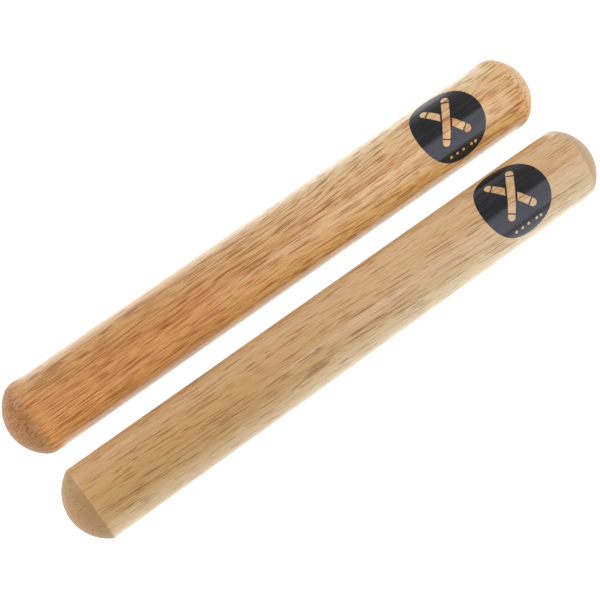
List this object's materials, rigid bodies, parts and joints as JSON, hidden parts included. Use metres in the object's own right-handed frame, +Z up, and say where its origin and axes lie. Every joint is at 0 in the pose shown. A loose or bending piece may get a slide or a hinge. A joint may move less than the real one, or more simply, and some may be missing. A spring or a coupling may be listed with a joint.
{
  "type": "pair of claves",
  "caption": "Pair of solid turned wooden claves with domed ends, each with a black printed disc wrapped near one end; hand percussion struck together.",
  "frame": {"origin": "on the table, under the middle of the pair: the bottom centre of the bounding box", "axes": "+X along the sticks towards their printed ends, +Y across the pair towards the far stick, +Z up from the table"},
  "size_m": [0.2, 0.0574, 0.025],
  "materials": {
    "far_wood": "clear lacquered, satin gloss, warm orange-brown with dark pores",
    "near_wood": "clear lacquered, satin gloss, paler tan with dark pores",
    "black_print": "black screen print under clear lacquer"
  },
  "bodies": {
    "far_stick": {"far_clave": "far_wood", "far_badge": "black_print"},
    "near_stick": {"near_clave": "near_wood", "near_badge": "black_print"}
  },
  "joints": [
    {"name": "strike", "type": "slide", "parent": "far_stick", "child": "near_stick", "axis": [0, 1, 0], "range_m": [-0.1, 0.007]}
  ]
}
